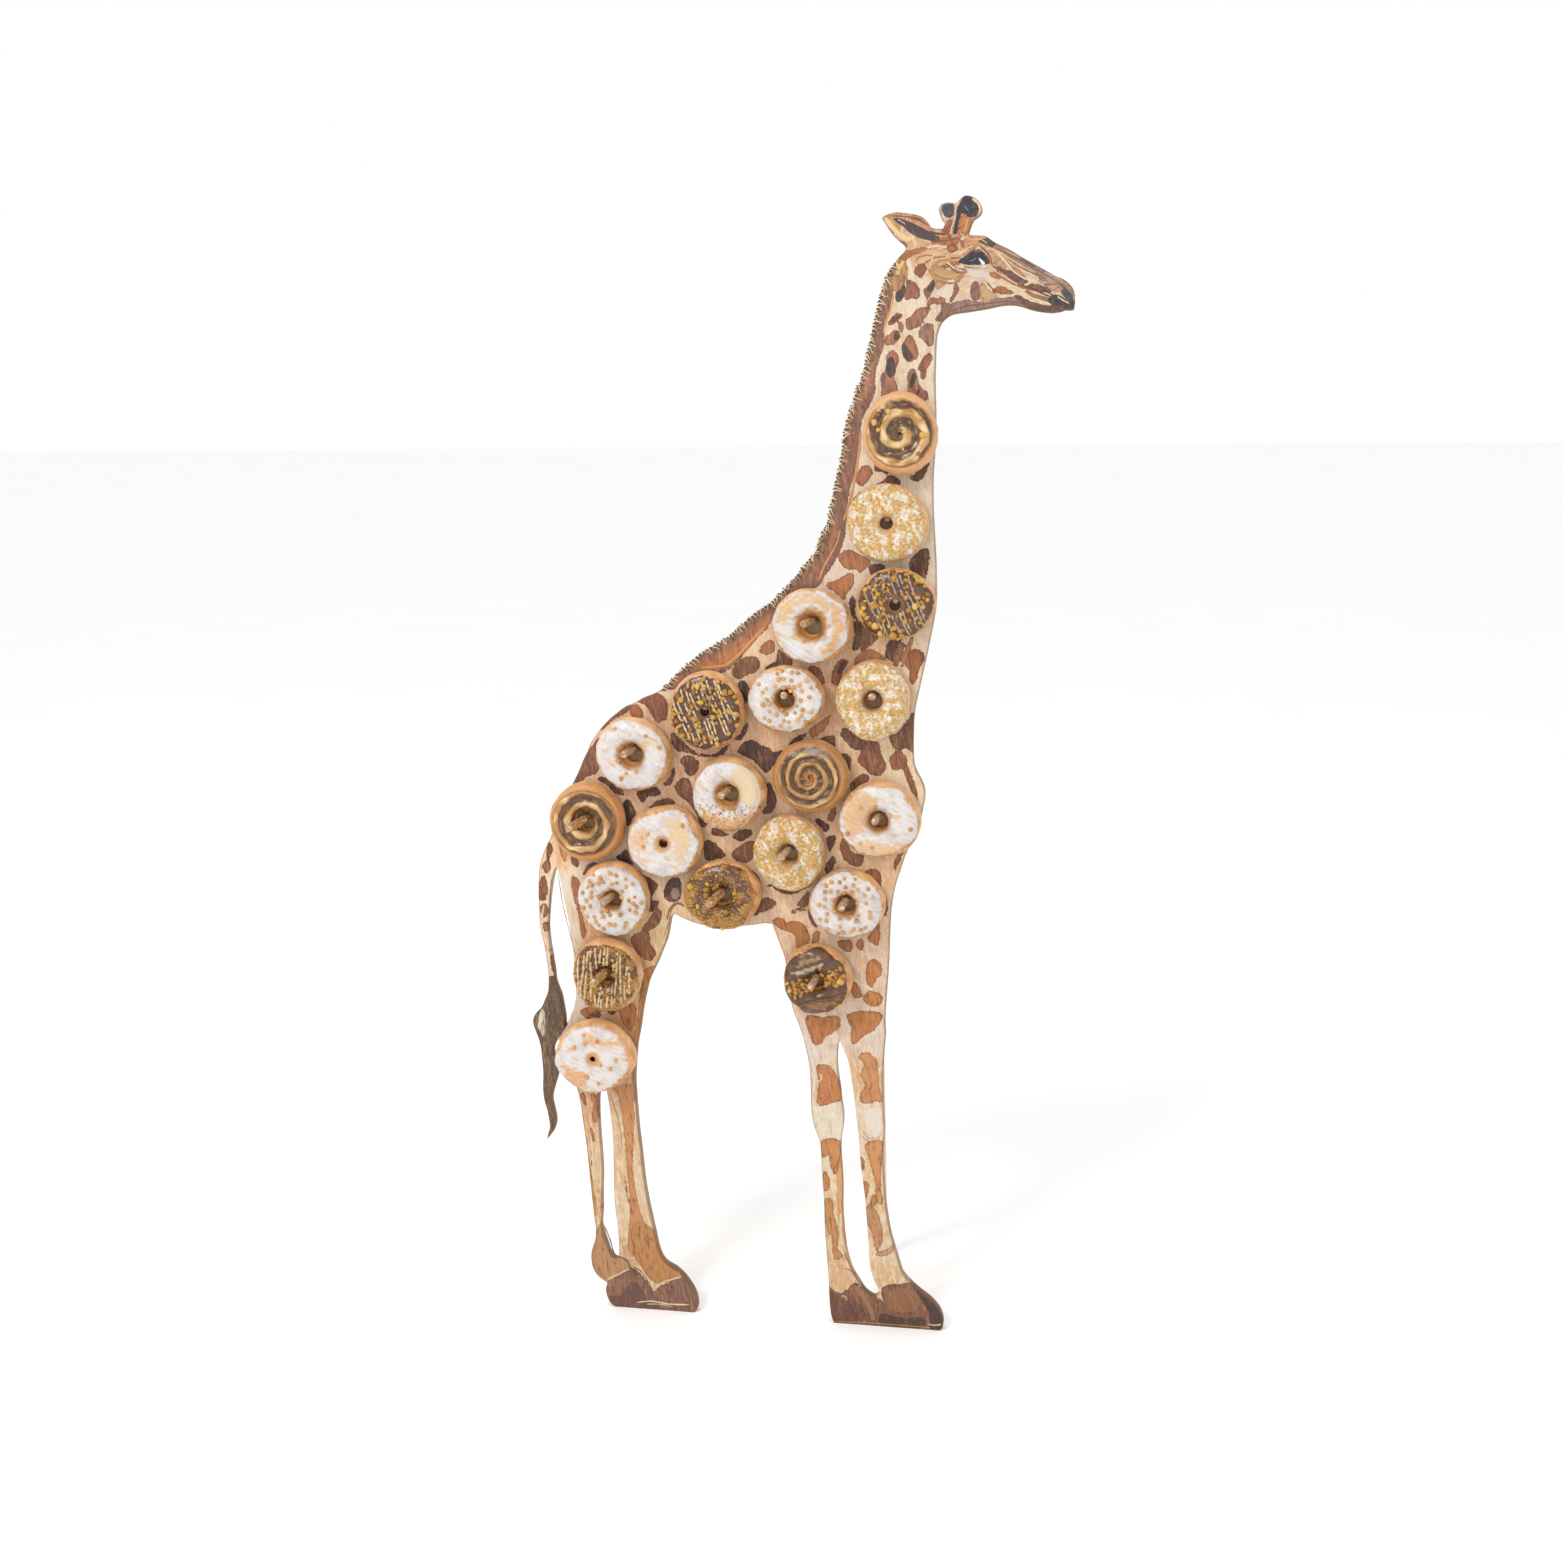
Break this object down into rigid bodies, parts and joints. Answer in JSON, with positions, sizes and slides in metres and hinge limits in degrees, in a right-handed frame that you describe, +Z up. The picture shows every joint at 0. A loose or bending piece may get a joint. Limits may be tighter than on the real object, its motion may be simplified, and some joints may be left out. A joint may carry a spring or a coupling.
{
  "type": "giraffe doughnut display board",
  "caption": "Flat painted plywood giraffe cut-out with wooden pegs that carry ring doughnuts, standing on its hooves and a hinged rear strut.",
  "frame": {"origin": "centre of the bounding box at floor level, between the hooves and the foot of the rear strut", "axes": "+X towards the giraffe's nose, -Y the side the painted face and the doughnuts look to, +Z up"},
  "size_m": [0.5865, 0.2173, 1.2155],
  "materials": {
    "painted_plywood": "satin",
    "peg_wood": "gloss",
    "swirl_doughnut": "gloss",
    "crumb_doughnut": "matte",
    "chocolate_doughnut": "gloss",
    "white_glaze_doughnut": "gloss",
    "plywood": "matte",
    "hinge_steel": "satin",
    "screw_steel": "satin"
  },
  "bodies": {
    "board": {"board": "painted_plywood", "peg_01": "peg_wood", "peg_02": "peg_wood", "peg_03": "peg_wood", "peg_04": "peg_wood", "peg_05": "peg_wood", "peg_06": "peg_wood", "peg_07": "peg_wood", "peg_08": "peg_wood", "peg_09": "peg_wood", "peg_10": "peg_wood", "peg_11": "peg_wood", "peg_12": "peg_wood", "peg_13": "peg_wood", "peg_14": "peg_wood", "peg_15": "peg_wood", "peg_16": "peg_wood", "peg_17": "peg_wood", "peg_18": "peg_wood", "peg_19": "peg_wood", "peg_20": "peg_wood", "hinge_leaf_fixed": "hinge_steel", "hinge_pin": "hinge_steel", "hinge_screws_fixed": "screw_steel"},
    "strut": {"strut": "plywood", "hinge_leaf_moving": "hinge_steel", "hinge_screws_moving": "screw_steel"},
    "doughnut_01": {"doughnut_01": "swirl_doughnut"},
    "doughnut_02": {"doughnut_02": "crumb_doughnut"},
    "doughnut_03": {"doughnut_03": "chocolate_doughnut"},
    "doughnut_04": {"doughnut_04": "white_glaze_doughnut"},
    "doughnut_05": {"doughnut_05": "white_glaze_doughnut"},
    "doughnut_06": {"doughnut_06": "chocolate_doughnut"},
    "doughnut_07": {"doughnut_07": "crumb_doughnut"},
    "doughnut_08": {"doughnut_08": "white_glaze_doughnut"},
    "doughnut_09": {"doughnut_09": "white_glaze_doughnut"},
    "doughnut_10": {"doughnut_10": "swirl_doughnut"},
    "doughnut_11": {"doughnut_11": "white_glaze_doughnut"},
    "doughnut_12": {"doughnut_12": "swirl_doughnut"},
    "doughnut_13": {"doughnut_13": "white_glaze_doughnut"},
    "doughnut_14": {"doughnut_14": "crumb_doughnut"},
    "doughnut_15": {"doughnut_15": "chocolate_doughnut"},
    "doughnut_16": {"doughnut_16": "white_glaze_doughnut"},
    "doughnut_17": {"doughnut_17": "white_glaze_doughnut"},
    "doughnut_18": {"doughnut_18": "chocolate_doughnut"},
    "doughnut_19": {"doughnut_19": "chocolate_doughnut"},
    "doughnut_20": {"doughnut_20": "white_glaze_doughnut"}
  },
  "joints": [
    {"name": "strut_fold", "type": "hinge", "parent": "board", "child": "strut", "pos_m": [0.08373, 0.01751, 0.69605], "axis": [-1, 0, 0], "range_deg": [0, 11.4]},
    {"name": "doughnut_01_off_peg", "type": "slide", "parent": "board", "child": "doughnut_01", "axis": [0, -0.9962, 0.0872], "range_m": [0, 0.032]},
    {"name": "doughnut_02_off_peg", "type": "slide", "parent": "board", "child": "doughnut_02", "axis": [0, -0.9962, 0.0872], "range_m": [0, 0.026]},
    {"name": "doughnut_03_off_peg", "type": "slide", "parent": "board", "child": "doughnut_03", "axis": [0, -0.9962, 0.0872], "range_m": [0, 0.033]},
    {"name": "doughnut_04_off_peg", "type": "slide", "parent": "board", "child": "doughnut_04", "axis": [0, -0.9962, 0.0872], "range_m": [0, 0.083]},
    {"name": "doughnut_05_off_peg", "type": "slide", "parent": "board", "child": "doughnut_05", "axis": [0, -0.9962, 0.0872], "range_m": [0, 0.039]},
    {"name": "doughnut_06_off_peg", "type": "slide", "parent": "board", "child": "doughnut_06", "axis": [0, -0.9962, 0.0872], "range_m": [0, 0.033]},
    {"name": "doughnut_07_off_peg", "type": "slide", "parent": "board", "child": "doughnut_07", "axis": [0, -0.9962, 0.0872], "range_m": [0, 0.039]},
    {"name": "doughnut_08_off_peg", "type": "slide", "parent": "board", "child": "doughnut_08", "axis": [0, -0.9962, 0.0872], "range_m": [0, 0.067]},
    {"name": "doughnut_09_off_peg", "type": "slide", "parent": "board", "child": "doughnut_09", "axis": [0, -0.9962, 0.0872], "range_m": [0, 0.07]},
    {"name": "doughnut_10_off_peg", "type": "slide", "parent": "board", "child": "doughnut_10", "axis": [0, -0.9962, 0.0872], "range_m": [0, 0.032]},
    {"name": "doughnut_11_off_peg", "type": "slide", "parent": "board", "child": "doughnut_11", "axis": [0, -0.9962, 0.0872], "range_m": [0, 0.067]},
    {"name": "doughnut_12_off_peg", "type": "slide", "parent": "board", "child": "doughnut_12", "axis": [0, -0.9962, 0.0872], "range_m": [0, 0.096]},
    {"name": "doughnut_13_off_peg", "type": "slide", "parent": "board", "child": "doughnut_13", "axis": [0, -0.9962, 0.0872], "range_m": [0, 0.03]},
    {"name": "doughnut_14_off_peg", "type": "slide", "parent": "board", "child": "doughnut_14", "axis": [0, -0.9962, 0.0872], "range_m": [0, 0.078]},
    {"name": "doughnut_15_off_peg", "type": "slide", "parent": "board", "child": "doughnut_15", "axis": [0, -0.9962, 0.0872], "range_m": [0, 0.096]},
    {"name": "doughnut_16_off_peg", "type": "slide", "parent": "board", "child": "doughnut_16", "axis": [0, -0.9962, 0.0872], "range_m": [0, 0.078]},
    {"name": "doughnut_17_off_peg", "type": "slide", "parent": "board", "child": "doughnut_17", "axis": [0, -0.9962, 0.0872], "range_m": [0, 0.07]},
    {"name": "doughnut_18_off_peg", "type": "slide", "parent": "board", "child": "doughnut_18", "axis": [0, -0.9962, 0.0872], "range_m": [0, 0.081]},
    {"name": "doughnut_19_off_peg", "type": "slide", "parent": "board", "child": "doughnut_19", "axis": [0, -0.9962, 0.0872], "range_m": [0, 0.076]},
    {"name": "doughnut_20_off_peg", "type": "slide", "parent": "board", "child": "doughnut_20", "axis": [0, -0.9962, 0.0872], "range_m": [0, 0.028]}
  ]
}
